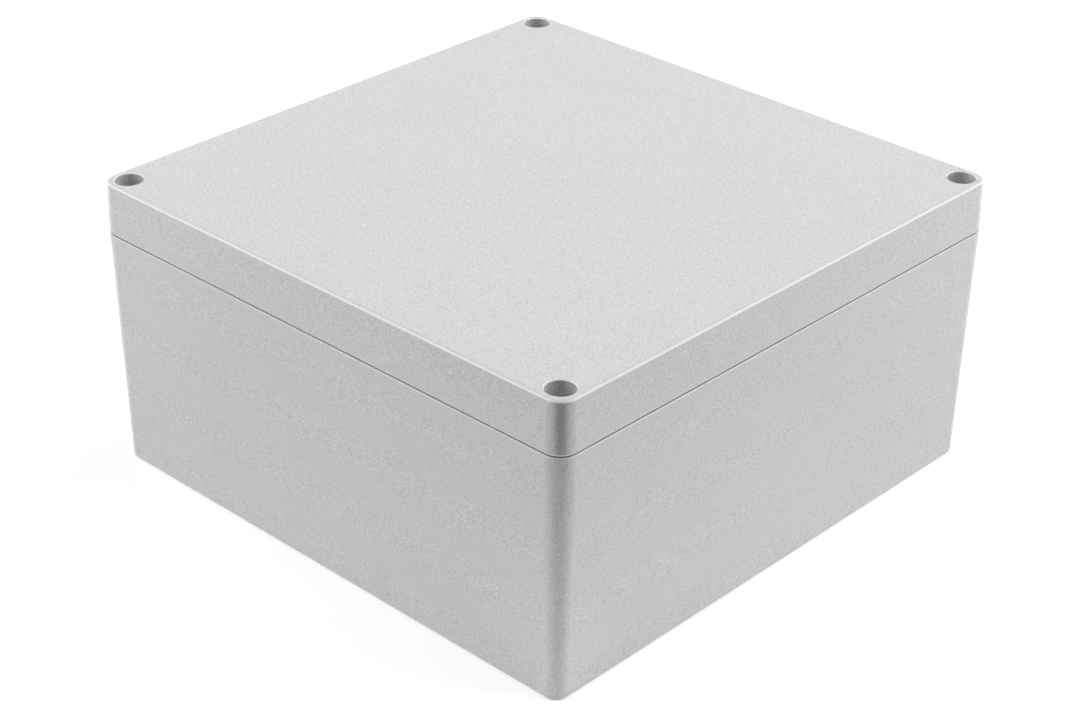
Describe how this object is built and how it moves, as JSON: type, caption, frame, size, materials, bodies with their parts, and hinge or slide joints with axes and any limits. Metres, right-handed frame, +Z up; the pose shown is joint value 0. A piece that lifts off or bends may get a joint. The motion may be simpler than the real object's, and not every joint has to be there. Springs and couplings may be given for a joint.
{
  "type": "abs enclosure",
  "caption": "Sealed square ABS enclosure: a deep plain base and a shallow lid with a gasket, held by captive screws sunk in its corners, and inside bosses for a circuit board.",
  "frame": {"origin": "centre of the underside, on the surface it stands on", "axes": "+Z up out of the lid, +X and +Y square to the four sides, front towards -Y"},
  "size_m": [0.18, 0.18, 0.091],
  "materials": {
    "abs_body": "light grey ABS with a fine matt moulded texture",
    "abs_lid": "light grey ABS with a fine matt moulded texture",
    "gasket_rubber": "soft black foamed rubber",
    "screw_steel": "bright stainless steel",
    "retainer_nylon": "natural white nylon",
    "insert_brass": "turned brass"
  },
  "bodies": {
    "base": {"base": "abs_body", "screw_insert_front_right": "insert_brass", "board_insert_front_right": "insert_brass", "screw_insert_front_left": "insert_brass", "board_insert_front_left": "insert_brass", "screw_insert_back_right": "insert_brass", "board_insert_back_right": "insert_brass", "screw_insert_back_left": "insert_brass", "board_insert_back_left": "insert_brass"},
    "lid": {"lid": "abs_lid", "gasket": "gasket_rubber"},
    "ring_front_right": {"screw_retainer_front_right": "retainer_nylon"},
    "screw_front_right": {"lid_screw_front_right": "screw_steel"},
    "ring_front_left": {"screw_retainer_front_left": "retainer_nylon"},
    "screw_front_left": {"lid_screw_front_left": "screw_steel"},
    "ring_back_right": {"screw_retainer_back_right": "retainer_nylon"},
    "screw_back_right": {"lid_screw_back_right": "screw_steel"},
    "ring_back_left": {"screw_retainer_back_left": "retainer_nylon"},
    "screw_back_left": {"lid_screw_back_left": "screw_steel"}
  },
  "joints": [
    {"name": "lid_lift", "type": "slide", "parent": "base", "child": "lid", "axis": [0, 0, 1], "range_m": [0, 0.1]},
    {"name": "screw_rise_front_right", "type": "slide", "parent": "lid", "child": "ring_front_right", "axis": [0, 0, 1], "range_m": [0, 0.0084]},
    {"name": "screw_turn_front_right", "type": "hinge", "parent": "ring_front_right", "child": "screw_front_right", "pos_m": [0.0837, -0.0837, 0.082], "axis": [0, 0, 1], "range_deg": [0, 4320]},
    {"name": "screw_rise_front_left", "type": "slide", "parent": "lid", "child": "ring_front_left", "axis": [0, 0, 1], "range_m": [0, 0.0084]},
    {"name": "screw_turn_front_left", "type": "hinge", "parent": "ring_front_left", "child": "screw_front_left", "pos_m": [-0.0837, -0.0837, 0.082], "axis": [0, 0, 1], "range_deg": [0, 4320]},
    {"name": "screw_rise_back_right", "type": "slide", "parent": "lid", "child": "ring_back_right", "axis": [0, 0, 1], "range_m": [0, 0.0084]},
    {"name": "screw_turn_back_right", "type": "hinge", "parent": "ring_back_right", "child": "screw_back_right", "pos_m": [0.0837, 0.0837, 0.082], "axis": [0, 0, 1], "range_deg": [0, 4320]},
    {"name": "screw_rise_back_left", "type": "slide", "parent": "lid", "child": "ring_back_left", "axis": [0, 0, 1], "range_m": [0, 0.0084]},
    {"name": "screw_turn_back_left", "type": "hinge", "parent": "ring_back_left", "child": "screw_back_left", "pos_m": [-0.0837, 0.0837, 0.082], "axis": [0, 0, 1], "range_deg": [0, 4320]}
  ],
  "couplings": [
    {"joint": "screw_turn_front_right", "follows": "screw_rise_front_right", "rad_per_m": 8976},
    {"joint": "screw_turn_front_left", "follows": "screw_rise_front_left", "rad_per_m": 8976},
    {"joint": "screw_turn_back_right", "follows": "screw_rise_back_right", "rad_per_m": 8976},
    {"joint": "screw_turn_back_left", "follows": "screw_rise_back_left", "rad_per_m": 8976}
  ]
}
